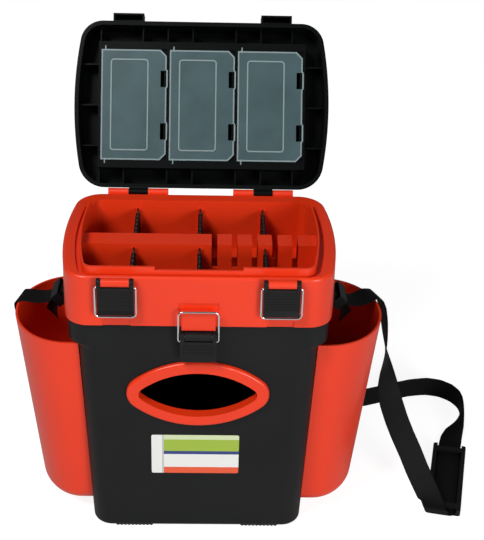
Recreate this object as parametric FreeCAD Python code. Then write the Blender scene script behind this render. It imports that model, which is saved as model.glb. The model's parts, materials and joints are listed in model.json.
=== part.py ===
import FreeCAD, Part
import math
import os

V = FreeCAD.Vector

# Fishing seat box. Millimetres; X to the right, Y to the back, Z up, from the centre of the underside.

# Lower box: tapered tub with a collar that widens its sides at the top
FOOT_HEIGHT = 2.0
BOX_HEIGHT = 275.0
BOX_BASE_WIDTH = 236.0
BOX_BASE_DEPTH = 169.0
BOX_TOP_WIDTH = 257.0
BOX_TOP_DEPTH = 180.0
BOX_CORNER = 22.0
BOX_WALL = 2.6
BOX_FLOOR = 3.0
BASE_ROUND = 5.0
COLLAR_WIDTH = 274.0
COLLAR_DROP = 33.0
COLLAR_SLOPE = 7.0
REAR_RIB = 3.0
FOOT_LENGTH = 42.0
FOOT_DEPTH = 15.0
FOOT_OFFSET = 50.0
TOOTH_PITCH = 4.2
TOOTH_HEIGHT = 1.2
FOOT_WRAP = 3.0
SPRUE_PAD_RADIUS = 12.0

# Window ring in the front wall
WINDOW_HEIGHT = 190.0
RING_HALF_LENGTH = 76.5
RING_HALF_HEIGHT = 41.6
RING_END_RADIUS = 22.0
RING_WIDTH = 13.2
RING_PROUD = 4.6
RING_ROUND = 3.2
SLEEVE_WALL = 2.4
SLEEVE_DEPTH = 7.0

# Side pockets: D section, open at the top, riveted to the slanted side walls
POCKET_RIM_Z = 241.0
POCKET_BASE_Z = 16.0
POCKET_RIM_REACH = 75.0
POCKET_BASE_REACH = 60.5
POCKET_RIM_HALF = 72.0
POCKET_BASE_HALF = 62.0
POCKET_FLANK = 13.0
POCKET_WALL = 2.4
POCKET_ROUND = 20.0
POCKET_RIVET_HEIGHTS = (95.0, 200.0)
POCKET_RIVET_SPREAD = 42.0

# Tackle tray: outer skirt, flat deck and two rows of compartments
TRAY_WIDTH = 290.0
TRAY_DEPTH = 190.0
TRAY_BASE_WIDTH = 291.0
TRAY_BASE_DEPTH = 187.0
TRAY_HEIGHT = 58.7
TRAY_FRONT_CORNER = 26.0
TRAY_REAR_CORNER = 30.0
SIDE_BOW_RADIUS = 420.0
TRAY_WALL = 2.6
SHOULDER_ROUND = 3.4
DECK_SIDE = 20.0
DECK_FRONT = 9.4
DECK_REAR = 17.0
LIP_HEIGHT = 8.0
LIP_THICK_SIDE = 2.2
LIP_THICK_FRONT = 2.8
LIP_DIP = 3.5
LIP_DIP_HALF = 45.0
GROOVE_SIDE = 5.0
GROOVE_FRONT = 2.8
GROOVE_DEPTH = 3.0
WELL_CORNER = 9.0
WELL_DRAFT = 1.6
TUB_WALL = 2.4
TUB_DEPTH = 59.0
BEAM_WIDTH = 24.0
BEAM_CENTRE_Y = -2.6
BEAM_DROP = 5.5
SLOT_WIDTH = 6.2
SLOT_DEPTH = 28.0
SLOT_FIRST_X = 15.8
SLOT_PITCH = 21.6
SLOT_COUNT = 5

# Cross dividers that slide up out of guide ribs
DIVIDER_THICK = 1.8
DIVIDER_PITCH = 70.0
DIVIDER_DROP = 9.5
GUIDE_RIB = 1.6
TOOTH_DEPTH = 1.6
TOOTH_COUNT = 6
DIVIDER_RIB_PITCH = 7.0
DIVIDER_RIB_WIDTH = 2.4
DIVIDER_HALF = 2.5
PIN_SNAP = 2.0

# Lid, drawn closed and then swung open about its hinge
LID_HEIGHT = 36.0
LID_DRAFT = 4.0
LID_ROUND = 7.0
LID_RIM = 4.6
LID_WALL = 3.0
LID_OPEN_ANGLE = 120.0
FRAME_HALF_WIDTH = 118.0
FRAME_HALF_DEPTH = 72.0
FRAME_DROP = 2.0
RIB_THICK = 1.6
RIB_DROP = 9.6
FRONT_RIBS = (-116.0, -68.0, -39.5, -11.0, 38.5, 67.0, 103.0)
REAR_RIBS = (-117.0, -89.0, -39.5, -10.5, 39.0, 68.0, 104.5)
SIDE_RIBS = (-46.5, 0.0, 46.5)
PAD_WIDTH = 238.0
PAD_DEPTH = 142.0
PAD_THICK = 7.0
PAD_RECESS = 1.5
PAD_CORNER = 24.0

# Well covers in the lid
COVER_WIDTH = 74.2
COVER_LENGTH = 126.0
COVER_THICK = 1.6
COVER_PITCH = 77.8
COVER_CHAMFER = 7.0
COVER_PLAY = 0.4
HINGE_INSET = 4.6
COVER_PIN_RADIUS = 1.2
COVER_PIN_REACH = 4.0
COVER_LEDGE = 3.0
BEAD_WIDTH = 1.6
BEAD_HEIGHT = 0.9
BEAD_CORNER = 4.0
COVER_EDGE = 0.5
NOTCH_LENGTH = 22.0
NOTCH_WIDTH = 6.8
NOTCH_OFFSET = 30.0
SNAP_REACH = 1.4

# Hinges: knuckles between lugs on steel rods
LID_AXIS_BACK = 4.5
LID_AXIS_DROP = 0.2
TRAY_AXIS_BACK = 10.0
HINGE_CENTRE_X = 71.0
KNUCKLE_LENGTH = 21.6
LUG_LENGTH = 23.0
LID_KNUCKLE_RADIUS = 4.0
TRAY_KNUCKLE_RADIUS = 5.2
HINGE_ROD_RADIUS = 1.5

# Latches: a lever on a lug, with a wire bail that catches a hook above
LATCH_X = 84.5
LEVER_WIDTH = 37.6
LEVER_PLATE = 2.4
LEVER_CHEEK = 2.0
LEVER_EAR = 4.0
LEVER_EAR_RADIUS = 4.5
LID_LEVER_DROP = 37.5
BOX_LEVER_DROP = 31.5
LATCH_PIN_RADIUS = 1.5
BAIL_REACH = 35.0
BAIL_OFFSET = 5.5
BAIL_WIRE = 2.2
BAIL_WIDTH = 41.6
BAIL_CORNER = 5.0
LUG_WIDTH = 28.4
LID_LATCH_OUT = 5.5
LID_LATCH_DROP = 3.5
BOX_LATCH_OUT = 11.4
BOX_LATCH_DROP = 7.5
HOOK_HALF = 17.6
TAB_HALF = 17.5
TAB_REACH = 9.5
HOOK_OUT = 5.4

# Shoulder strap and its fittings
STRAP_WIDTH = 28.0
STRAP_THICK = 1.6
ANCHOR_Y = 8.0
ANCHOR_BAR_OUT = 9.0
ANCHOR_BAR_RADIUS = 2.0
ANCHOR_HEIGHT = 20.0
ANCHOR_CHEEK = 2.6
SLIDER_HEIGHT = 11.0
STRAP_PAD_LENGTH = 126.0
STRAP_PAD_WIDTH = 40.0
STRAP_PAD_HEIGHT = 8.0
STRAP_PAD_PLATE = 2.0
STRAP_PAD_TURN = -12.5
STRAP_PAD_CENTRE = V(300.5, 2.5, 0.0)

# Clearances
RUNNING = 0.05
SEAT_GAP = 0.3
RIVET_RADIUS = 2.4
RIVET_HEAD = 4.6
RIVET_HEAD_HEIGHT = 1.4

# Heights and places that follow from the sizes above
BOX_TOP_Z = FOOT_HEIGHT + BOX_HEIGHT
COLLAR_LOW_Z = BOX_TOP_Z - COLLAR_DROP
COLLAR_HIGH_Z = COLLAR_LOW_Z + COLLAR_SLOPE
TRAY_BASE_Z = BOX_TOP_Z + SEAT_GAP
RIM_Z = TRAY_BASE_Z + TRAY_HEIGHT
LIP_Z = RIM_Z + LIP_HEIGHT
TUB_FLOOR_Z = RIM_Z - TUB_DEPTH
TUB_BASE_Z = TUB_FLOOR_Z - TUB_WALL
BEAM_Z = RIM_Z - BEAM_DROP
BEAM_FRONT_Y = BEAM_CENTRE_Y - BEAM_WIDTH / 2
BEAM_REAR_Y = BEAM_CENTRE_Y + BEAM_WIDTH / 2
WELL_HALF = TRAY_WIDTH / 2 - DECK_SIDE
WELL_FRONT_Y = -TRAY_DEPTH / 2 + DECK_FRONT
WELL_REAR_Y = TRAY_DEPTH / 2 - DECK_REAR
LID_BASE_Z = RIM_Z + SEAT_GAP
LID_TOP_Z = LID_BASE_Z + LID_HEIGHT
LID_INNER_Z = LID_TOP_Z - LID_WALL
FRAME_Z = LID_BASE_Z + FRAME_DROP
LID_AXIS = V(0, TRAY_DEPTH / 2 + LID_AXIS_BACK, RIM_Z - LID_AXIS_DROP)
TRAY_AXIS = V(0, BOX_TOP_DEPTH / 2 + TRAY_AXIS_BACK, BOX_TOP_Z)
LID_LATCH_PIVOT = V(0, -TRAY_DEPTH / 2 - LID_LATCH_OUT, RIM_Z - LID_LATCH_DROP)
BOX_LATCH_PIVOT = V(0, -BOX_TOP_DEPTH / 2 - BOX_LATCH_OUT, BOX_TOP_Z - BOX_LATCH_DROP)
COVER_MID_Z = FRAME_Z + BEAD_HEIGHT + COVER_THICK / 2
PAD_STRAP_Z = STRAP_PAD_PLATE + SEAT_GAP + STRAP_THICK / 2


def block(x0, x1, y0, y1, z0, z1):
    """Box between two corners."""
    return Part.makeBox(x1 - x0, y1 - y0, z1 - z0, V(x0, y0, z0))


def rod(radius, start, end):
    """Round bar from one point to another."""
    line = end - start
    return Part.makeCylinder(radius, line.Length, start, line)


def side_profile(points, x0, x1):
    """Straight bar along X whose section is a polygon of (y, z) points."""
    corners = [V(x0, y, z) for y, z in points]
    face = Part.Face(Part.makePolygon(corners + corners[:1]))
    return face.extrude(V(x1 - x0, 0, 0))


def loft(*sections):
    """Solid with straight generators through closed sections."""
    return Part.makeLoft(list(sections), True, True)


def fuse(first, *others):
    """One solid from pieces that touch or overlap."""
    return first.fuse(list(others)).removeSplitter()


def both_sides(shape):
    """The shape and its mirror image across the middle plane."""
    return [shape, shape.mirror(V(0, 0, 0), V(1, 0, 0))]


def outline(half, front, rear, z, front_r, rear_r, bow=None):
    """Plan outline with round corners; the sides are straight, or arcs of the radius bow."""
    def corner(y, r):
        centre_y = y - math.copysign(r, y)
        if bow is None:
            return half - r, centre_y, 0.0
        bow_x = half - bow
        centre_x = bow_x + math.sqrt((bow - r) ** 2 - centre_y ** 2)
        return centre_x, centre_y, math.atan2(centre_y, centre_x - bow_x)

    def point(place, r, angle, side):
        return V(side * (place[0] + r * math.cos(angle)), place[1] + r * math.sin(angle), z)

    def arc(place, r, start, end, side):
        angles = (start, (start + end) / 2, end)
        return Part.Arc(*[point(place, r, angle, side) for angle in angles]).toShape()

    def flank(side, start, end):
        if bow is None:
            return Part.LineSegment(start, end).toShape()
        return Part.Arc(start, V(side * half, 0, z), end).toShape()

    back = corner(rear, rear_r)
    fore = corner(front, front_r)
    quarter = math.pi / 2
    edges = [Part.LineSegment(V(back[0], rear, z), V(-back[0], rear, z)).toShape()]
    edges.append(arc(back, rear_r, quarter, back[2], -1))
    edges.append(flank(-1, point(back, rear_r, back[2], -1), point(fore, front_r, fore[2], -1)))
    edges.append(arc(fore, front_r, fore[2], -quarter, -1))
    edges.append(Part.LineSegment(V(-fore[0], front, z), V(fore[0], front, z)).toShape())
    edges.append(arc(fore, front_r, -quarter, fore[2], 1))
    edges.append(flank(1, point(fore, front_r, fore[2], 1), point(back, rear_r, back[2], 1)))
    edges.append(arc(back, rear_r, back[2], quarter, 1))
    return Part.Wire(edges)


def slab(wire, height):
    """Upright solid on a flat wire."""
    return Part.Face(wire).extrude(V(0, 0, height))


def edges_at(shape, z):
    """Edges that lie in the level plane z."""
    box = [(edge, edge.BoundBox) for edge in shape.Edges]
    return [edge for edge, b in box if abs(b.ZMin - z) < 1e-3 and abs(b.ZMax - z) < 1e-3]


def box_half(z):
    """Half the lower box's width at a height, without the collar."""
    share = (z - FOOT_HEIGHT) / BOX_HEIGHT
    return (BOX_BASE_WIDTH + (BOX_TOP_WIDTH - BOX_BASE_WIDTH) * share) / 2


def box_front(z):
    """Distance of the lower box's front face from the middle at a height."""
    share = (z - FOOT_HEIGHT) / BOX_HEIGHT
    return (BOX_BASE_DEPTH + (BOX_TOP_DEPTH - BOX_BASE_DEPTH) * share) / 2


def box_section(z, inset=0.0, half=None):
    """Level outline of the lower box, moved inwards by inset."""
    width = (half or box_half(z)) - inset
    depth = box_front(z) - inset
    return outline(width, -depth, depth, z, BOX_CORNER - inset, BOX_CORNER - inset)


def hinge_spans(centre):
    """X ranges of the lug, knuckle and lug of one hinge."""
    gap = SEAT_GAP
    inner = centre - KNUCKLE_LENGTH / 2 - gap - LUG_LENGTH
    outer = centre + KNUCKLE_LENGTH / 2 + gap
    return [(inner, inner + LUG_LENGTH), (outer, outer + LUG_LENGTH)]


def knuckle(axis, radius, web, x0, x1):
    """Round hinge barrel along X with the web that joins it to its wall."""
    barrel = rod(radius, V(x0, axis.y, axis.z), V(x1, axis.y, axis.z))
    return fuse(barrel, side_profile(web, x0, x1))


def hinge_bore(axis, x0, x1, play):
    """Cutter for the rod along a hinge."""
    return rod(HINGE_ROD_RADIUS + play, V(x0, axis.y, axis.z), V(x1, axis.y, axis.z))


def box_outer():
    """Outside of the lower box as a full solid with a round lower edge."""
    collar = COLLAR_WIDTH / 2
    outer = loft(box_section(FOOT_HEIGHT), box_section(COLLAR_LOW_Z),
                 box_section(COLLAR_HIGH_Z, half=collar), box_section(BOX_TOP_Z, half=collar))
    return outer.makeFillet(BASE_ROUND, edges_at(outer, FOOT_HEIGHT))


def feet():
    """Four ribbed foot strips that wrap round the box's lower edge, flat-topped teeth downwards."""
    count = int(FOOT_LENGTH / TOOTH_PITCH)
    land = TOOTH_PITCH * 0.3
    side = (TOOTH_PITCH * 0.92 - land) / 2
    high = FOOT_HEIGHT + FOOT_WRAP
    outer = box_outer()
    strips = []
    for x0 in (-FOOT_OFFSET - FOOT_LENGTH, FOOT_OFFSET):
        outline_points = [(x0, high), (x0, TOOTH_HEIGHT)]
        for i in range(count):
            x = x0 + i * TOOTH_PITCH
            outline_points += [(x + side, 0), (x + side + land, 0), (x + 2 * side + land, TOOTH_HEIGHT),
                               (x + TOOTH_PITCH, TOOTH_HEIGHT)]
        outline_points.append((x0 + count * TOOTH_PITCH, high))
        for y0 in (-BOX_BASE_DEPTH / 2 + 3, BOX_BASE_DEPTH / 2 - 3 - FOOT_DEPTH):
            corners = [V(px, y0, pz) for px, pz in outline_points]
            face = Part.Face(Part.makePolygon(corners + corners[:1]))
            strips.append(face.extrude(V(0, FOOT_DEPTH, 0)).cut(outer))
    return Part.makeCompound(strips)


def lens(half_length, half_height, end_radius, y):
    """Long oval in an upright plane: two flat arcs joined by round ends."""
    a, b, r = half_length, half_height, end_radius
    big = (a * a - 2 * a * r + b * b) / (2 * (b - r))
    angle = math.atan2(big - b, a - r)
    joint = V(a - r + r * math.cos(angle), y, r * math.sin(angle))
    corners = [V(s * joint.x, y, t * joint.z) for s, t in ((1, 1), (-1, 1), (-1, -1), (1, -1))]
    edges = [Part.Arc(corners[0], V(0, y, b), corners[1]).toShape()]
    edges.append(Part.Arc(corners[1], V(-a, y, 0), corners[2]).toShape())
    edges.append(Part.Arc(corners[2], V(0, y, -b), corners[3]).toShape())
    edges.append(Part.Arc(corners[3], V(a, y, 0), corners[0]).toShape())
    return Part.Wire(edges)


def lens_bar(inset, y0, y1):
    """Solid oval bar through the front wall, moved inwards from the ring's outline."""
    wire = lens(RING_HALF_LENGTH - inset, RING_HALF_HEIGHT - inset, RING_END_RADIUS - inset, y0)
    return Part.Face(wire).extrude(V(0, y1 - y0, 0))


def on_front_wall(shape):
    """Moves a shape drawn about the origin onto the leaning front wall at the window."""
    z = WINDOW_HEIGHT
    place = V(0, -box_front(z), z)
    lean = math.degrees(math.atan2((BOX_TOP_DEPTH - BOX_BASE_DEPTH) / 2, BOX_HEIGHT))
    moved = shape.translated(place)
    return moved.rotated(place, V(1, 0, 0), lean)


def rivet_spots():
    """Heights and depths of the rivets that hold one pocket."""
    return [(y, z) for z in POCKET_RIVET_HEIGHTS for y in (-POCKET_RIVET_SPREAD, POCKET_RIVET_SPREAD)]


def anchor_spots():
    """Depths of the two rivets of a strap anchor."""
    reach = STRAP_WIDTH / 2 + 0.8 + ANCHOR_CHEEK + SEAT_GAP + RIVET_HEAD
    return [ANCHOR_Y - reach, ANCHOR_Y + reach]


def lower_box():
    """Tapered tub with collar, hinge lugs, latch lug, window and the sprue pad underneath."""
    collar = COLLAR_WIDTH / 2
    outer = box_outer()
    floor = FOOT_HEIGHT + BOX_FLOOR
    inner = loft(box_section(floor, BOX_WALL), box_section(COLLAR_LOW_Z + 1.5, BOX_WALL),
                 box_section(COLLAR_HIGH_Z + 1.5, BOX_WALL, collar),
                 box_section(BOX_TOP_Z + 1, BOX_WALL, collar))
    inner = inner.makeFillet(BASE_ROUND - BOX_WALL, edges_at(inner, floor))
    rib_low = box_front(floor) - BOX_WALL - REAR_RIB
    rib_high = box_front(COLLAR_LOW_Z) - BOX_WALL - REAR_RIB
    rib = side_profile([(rib_low, floor), (rib_high, COLLAR_LOW_Z), (BOX_TOP_DEPTH, COLLAR_LOW_Z),
                        (BOX_TOP_DEPTH, floor)], -REAR_RIB / 2, REAR_RIB / 2)
    body = outer.cut(inner.cut(rib))
    body = body.cut(on_front_wall(lens_bar(RING_WIDTH - SLEEVE_WALL - RUNNING, -20, 20)))
    parts = []
    y, z = TRAY_AXIS.y, TRAY_AXIS.z
    r = TRAY_KNUCKLE_RADIUS
    web = [(BOX_TOP_DEPTH / 2 - 1, z - 20), (y, z - r), (y + r * 0.7, z - r * 0.7),
           (y, z), (BOX_TOP_DEPTH / 2 - 1, z)]
    for centre in (-HINGE_CENTRE_X, HINGE_CENTRE_X):
        for x0, x1 in hinge_spans(centre):
            parts.append(knuckle(TRAY_AXIS, r, web, x0, x1))
    pivot = BOX_LATCH_PIVOT
    r = LEVER_EAR_RADIUS
    wall = -box_front(pivot.z) + 1
    web = [(wall, pivot.z + 4), (pivot.y, pivot.z + r), (pivot.y - r * 0.7, pivot.z - r * 0.7),
           (pivot.y, pivot.z - r), (wall, pivot.z - 14)]
    parts.append(knuckle(pivot, r, web, -LUG_WIDTH / 2, LUG_WIDTH / 2))
    parts.append(rod(SPRUE_PAD_RADIUS, V(0, 0, 0), V(0, 0, FOOT_HEIGHT + 1)))
    body = fuse(body, *parts)
    cutters = []
    for centre in (-HINGE_CENTRE_X, HINGE_CENTRE_X):
        spans = hinge_spans(centre)
        cutters.append(hinge_bore(TRAY_AXIS, spans[0][0] - 1, spans[1][1] + 1, RUNNING))
    cutters.append(rod(LATCH_PIN_RADIUS + RUNNING, V(-LUG_WIDTH, pivot.y, pivot.z),
                       V(LUG_WIDTH, pivot.y, pivot.z)))
    for side in (-1, 1):
        for y, z in rivet_spots():
            cutters.append(rod(RIVET_RADIUS + RUNNING, V(side * (box_half(z) - 8), y, z),
                               V(side * (box_half(z) + 8), y, z)))
        z = (COLLAR_HIGH_Z + BOX_TOP_Z) / 2
        for y in anchor_spots():
            cutters.append(rod(RIVET_RADIUS + RUNNING, V(side * (collar - 8), y, z),
                               V(side * (collar + 8), y, z)))
    return body.cut(cutters)


def window_ring():
    """Red oval ring: a rounded flange on the front wall and a sleeve through it."""
    flange = lens_bar(0.0, -RING_PROUD, 0)
    front_edges = [e for e in flange.Edges if abs(e.BoundBox.YMax + RING_PROUD) < 1e-3]
    flange = flange.makeFillet(RING_ROUND, front_edges)
    sleeve = lens_bar(RING_WIDTH - SLEEVE_WALL, -0.5, SLEEVE_DEPTH)
    ring = fuse(flange, sleeve).cut(lens_bar(RING_WIDTH, -RING_PROUD - 1, SLEEVE_DEPTH + 1))
    return on_front_wall(ring.translated(V(0, -RUNNING, 0)))


def half_ellipse(centre_x, reach, half, z):
    """Two arcs of the half ellipse that bulges to +X, from +Y round to -Y."""
    top, tip, middle = V(centre_x, half, z), V(centre_x + reach, 0, z), V(centre_x, 0, z)
    quarter = math.pi / 2
    if half > reach:
        ellipse = Part.Ellipse(top, tip, middle)
        return [Part.Arc(ellipse, 0, quarter), Part.Arc(ellipse, quarter, 2 * quarter)]
    ellipse = Part.Ellipse(tip, top, middle)
    return [Part.Arc(ellipse, 0, quarter), Part.Arc(ellipse, -quarter, 0)]


def pocket_section(z, inset=0.0):
    """Level D outline of the right pocket: flat against the box, half an ellipse outwards."""
    share = (z - POCKET_BASE_Z) / (POCKET_RIM_Z - POCKET_BASE_Z)
    reach = POCKET_BASE_REACH + (POCKET_RIM_REACH - POCKET_BASE_REACH) * share
    half = POCKET_BASE_HALF + (POCKET_RIM_HALF - POCKET_BASE_HALF) * share - inset
    wall = box_half(z) + SEAT_GAP
    start = wall + inset
    flank = wall + POCKET_FLANK
    edges = [Part.LineSegment(V(start, -half, z), V(start, half, z)).toShape()]
    edges.append(Part.LineSegment(V(start, half, z), V(flank, half, z)).toShape())
    edges += [arc.toShape() for arc in half_ellipse(flank, reach - POCKET_FLANK - inset, half, z)]
    edges.append(Part.LineSegment(V(flank, -half, z), V(start, -half, z)).toShape())
    return Part.Wire(Part.__sortEdges__(edges))


def pocket():
    """Right pocket, an open tub whose flat wall lies on the box's slanted side."""
    def round_base(shape, z, radius):
        wall = box_half(z) + SEAT_GAP + POCKET_WALL
        rim = [edge for edge in edges_at(shape, z) if edge.BoundBox.XMax > wall + 1]
        return shape.makeFillet(radius, rim)

    outer = loft(pocket_section(POCKET_BASE_Z), pocket_section(POCKET_RIM_Z))
    outer = round_base(outer, POCKET_BASE_Z, POCKET_ROUND)
    floor = POCKET_BASE_Z + POCKET_WALL
    inner = loft(pocket_section(floor, POCKET_WALL), pocket_section(POCKET_RIM_Z + 1, POCKET_WALL))
    inner = round_base(inner, floor, POCKET_ROUND - POCKET_WALL)
    holes = []
    for y, z in rivet_spots():
        holes.append(rod(RIVET_RADIUS + RUNNING, V(box_half(z) - 8, y, z), V(box_half(z) + 8, y, z)))
    return outer.cut(inner).cut(holes)


def rivet(x0, x1, y, z):
    """Rivet along X with a flat head at each end of the grip x0 to x1."""
    shank = rod(RIVET_RADIUS, V(x0, y, z), V(x1, y, z))
    heads = [rod(RIVET_HEAD, V(x0 - RIVET_HEAD_HEIGHT, y, z), V(x0, y, z)),
             rod(RIVET_HEAD, V(x1, y, z), V(x1 + RIVET_HEAD_HEIGHT, y, z))]
    return fuse(shank, *heads)


def pocket_rivets():
    """Eight rivets that hold the pockets, each through a pocket's wall and the box's wall."""
    rivets = []
    for y, z in rivet_spots():
        grip = BOX_WALL + SEAT_GAP + POCKET_WALL
        start = box_half(z) - BOX_WALL - SEAT_GAP
        rivets += both_sides(rivet(start, start + grip + 2 * SEAT_GAP, y, z))
    return Part.makeCompound(rivets)


def tray_section(z, inset=0.0):
    """Level outline of the tray's skirt, which widens upwards; its sides bow outwards."""
    share = (z - TRAY_BASE_Z) / TRAY_HEIGHT
    half = (TRAY_BASE_WIDTH + (TRAY_WIDTH - TRAY_BASE_WIDTH) * share) / 2 - inset
    depth = (TRAY_BASE_DEPTH + (TRAY_DEPTH - TRAY_BASE_DEPTH) * share) / 2 - inset
    return outline(half, -depth, depth, z, TRAY_FRONT_CORNER - inset, TRAY_REAR_CORNER - inset,
                   SIDE_BOW_RADIUS - inset)


def well_section(z, side=0.0, front=0.0, rear=0.0):
    """Level outline of the tray's well, moved outwards by different amounts."""
    return outline(WELL_HALF + side, WELL_FRONT_Y - front, WELL_REAR_Y + rear, z,
                   WELL_CORNER + front, WELL_CORNER + rear, SIDE_BOW_RADIUS - DECK_SIDE + side)


def divider_places():
    """Name, X and Y range of each cross divider."""
    front = (WELL_FRONT_Y + WELL_DRAFT + SEAT_GAP, BEAM_FRONT_Y - SEAT_GAP)
    rear = (BEAM_REAR_Y + SEAT_GAP, WELL_REAR_Y - WELL_DRAFT - SEAT_GAP)
    places = []
    for row, span in (("front", front), ("rear", rear)):
        for i in range(3):
            places.append(("divider_%s_%d" % (row, i + 1), (i - 1) * DIVIDER_PITCH, span))
    return places


def guide_ribs():
    """Pairs of upright ribs that hold the ends of each divider."""
    ribs = []
    half = DIVIDER_THICK / 2 + SEAT_GAP
    top = RIM_Z - DIVIDER_DROP
    ends = [(WELL_FRONT_Y - 1, WELL_FRONT_Y + WELL_DRAFT + GUIDE_RIB),
            (BEAM_FRONT_Y - GUIDE_RIB, BEAM_FRONT_Y + 1), (BEAM_REAR_Y - 1, BEAM_REAR_Y + GUIDE_RIB),
            (WELL_REAR_Y - WELL_DRAFT - GUIDE_RIB, WELL_REAR_Y + 1)]
    for i in (-1, 0, 1):
        x = i * DIVIDER_PITCH
        for y0, y1 in ends:
            ribs.append(block(x - half - GUIDE_RIB, x - half, y0, y1, TUB_FLOOR_Z - 1, top))
            ribs.append(block(x + half, x + half + GUIDE_RIB, y0, y1, TUB_FLOOR_Z - 1, top))
    return ribs


def bail_top(pivot):
    """Height of the bail's bar when the bail stands straight up."""
    return pivot.z - BAIL_OFFSET + BAIL_REACH


def hook_profile(back, front, low, pivot):
    """Section of a catch: a block with a nose along its top front edge for the bail's bar."""
    seat = bail_top(pivot) - BAIL_WIRE / 2 - SEAT_GAP
    nose = seat + 1.2
    return [(back, low), (front, low), (front, nose), (front + 1.6, nose), (front + 2.2, seat),
            (back, seat)]


def tray():
    """Tackle tray in one moulding: skirt, deck with lip, two-row well, beam, lugs and catch."""
    outer = loft(tray_section(TRAY_BASE_Z), tray_section(RIM_Z))
    outer = outer.makeFillet(SHOULDER_ROUND, edges_at(outer, RIM_Z))
    deck = GROOVE_DEPTH + TUB_WALL
    hollow = loft(tray_section(TRAY_BASE_Z - 1, TRAY_WALL), tray_section(RIM_Z - deck, TRAY_WALL))
    grow = TUB_WALL
    shrink = TUB_WALL - WELL_DRAFT
    tub = loft(well_section(TUB_BASE_Z, shrink, shrink, shrink),
               well_section(RIM_Z - 1, grow, grow, grow))
    lip_low = RIM_Z - GROOVE_DEPTH
    lip_wire = well_section(lip_low, LIP_THICK_SIDE, LIP_THICK_FRONT, LIP_THICK_FRONT)
    lip = slab(lip_wire, LIP_Z - lip_low)
    groove = slab(well_section(lip_low, LIP_THICK_SIDE + GROOVE_SIDE, LIP_THICK_FRONT + GROOVE_FRONT,
                               LIP_THICK_FRONT), GROOVE_DEPTH + 1).cut(lip)
    lip_end = WELL_REAR_Y - DECK_REAR
    behind = block(-TRAY_WIDTH, TRAY_WIDTH, lip_end, TRAY_DEPTH, lip_low, LIP_Z + 1)
    dip = block(-LIP_DIP_HALF, LIP_DIP_HALF, -TRAY_DEPTH, 0, LIP_Z - LIP_DIP, LIP_Z + 1)
    lip = lip.cut([behind, dip])
    body = outer.cut(hollow).cut(groove.cut(behind))
    body = body.fuse([tub, lip])
    flare = WELL_DRAFT * (LIP_HEIGHT + 1) / TUB_DEPTH
    well = loft(well_section(TUB_FLOOR_Z, -WELL_DRAFT, -WELL_DRAFT, -WELL_DRAFT),
                well_section(LIP_Z + 1, flare, flare, flare))
    beam = block(-TRAY_WIDTH / 2, TRAY_WIDTH / 2, BEAM_FRONT_Y, BEAM_REAR_Y, TUB_FLOOR_Z - 1, BEAM_Z)
    body = body.cut(well.cut([beam] + guide_ribs()))
    channel_end = WELL_HALF - WELL_DRAFT - BOX_CORNER / 2
    cutters = [block(-channel_end, channel_end, BEAM_FRONT_Y + TUB_WALL, BEAM_REAR_Y - TUB_WALL,
                     TUB_BASE_Z - 1, BEAM_Z - TUB_WALL)]
    for i in range(SLOT_COUNT):
        x = SLOT_FIRST_X + i * SLOT_PITCH
        cutters.append(block(x - SLOT_WIDTH / 2, x + SLOT_WIDTH / 2, BEAM_FRONT_Y - 1, BEAM_REAR_Y + 1,
                             BEAM_Z - SLOT_DEPTH, BEAM_Z + 1))
    front = -TRAY_BASE_DEPTH / 2
    seat = bail_top(BOX_LATCH_PIVOT) - BAIL_WIRE / 2 - SEAT_GAP
    cutters.append(block(-HOOK_HALF - 3, HOOK_HALF + 3, front - 3, front + 0.7, seat, seat + 8))
    for x in (-LATCH_X, LATCH_X):
        cutters.append(block(x - LUG_WIDTH / 2, x + LUG_WIDTH / 2, front - 3, front + 1.2,
                             TRAY_BASE_Z - 1, TRAY_BASE_Z + 7))
    body = body.cut(cutters)
    parts = []
    y, z, r = LID_AXIS.y, LID_AXIS.z, LID_KNUCKLE_RADIUS
    wall = TRAY_DEPTH / 2 - 1
    web = [(wall, z - 15), (y + r * 0.7, z - r * 0.7), (y, z), (wall, z - 1)]
    for centre in (-HINGE_CENTRE_X, HINGE_CENTRE_X):
        for x0, x1 in hinge_spans(centre):
            parts.append(knuckle(LID_AXIS, r, web, x0, x1))
    y, z, r = TRAY_AXIS.y, TRAY_AXIS.z, TRAY_KNUCKLE_RADIUS
    wall = TRAY_BASE_DEPTH / 2 - 1
    web = [(wall, TRAY_BASE_Z), (y, z), (y + r * 0.7, z + r * 0.7), (wall, z + 16)]
    for centre in (-HINGE_CENTRE_X, HINGE_CENTRE_X):
        half = KNUCKLE_LENGTH / 2
        parts.append(knuckle(TRAY_AXIS, r, web, centre - half, centre + half))
    y, z, r = LID_LATCH_PIVOT.y, LID_LATCH_PIVOT.z, LEVER_EAR_RADIUS
    wall = -TRAY_DEPTH / 2 + 1
    web = [(wall, RIM_Z - SHOULDER_ROUND), (y, z + r), (y - r * 0.7, z - r * 0.7), (y, z - r),
           (wall, z - r - 5)]
    for x in (-LATCH_X, LATCH_X):
        parts.append(knuckle(LID_LATCH_PIVOT, r, web, x - LUG_WIDTH / 2, x + LUG_WIDTH / 2))
    hook = hook_profile(front + 1, front - HOOK_OUT, TRAY_BASE_Z - 1.8, BOX_LATCH_PIVOT)
    parts.append(side_profile(hook, -HOOK_HALF, HOOK_HALF))
    body = fuse(body, *parts)
    bores = []
    for centre in (-HINGE_CENTRE_X, HINGE_CENTRE_X):
        spans = hinge_spans(centre)
        bores.append(hinge_bore(LID_AXIS, spans[0][0] - 1, spans[1][1] + 1, RUNNING))
        bores.append(hinge_bore(TRAY_AXIS, spans[0][0] - 1, spans[1][1] + 1, RUNNING))
    for x in (-LATCH_X, LATCH_X):
        bores.append(rod(LATCH_PIN_RADIUS + RUNNING, V(x - LUG_WIDTH, y, z), V(x + LUG_WIDTH, y, z)))
    return body.cut(bores)


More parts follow.
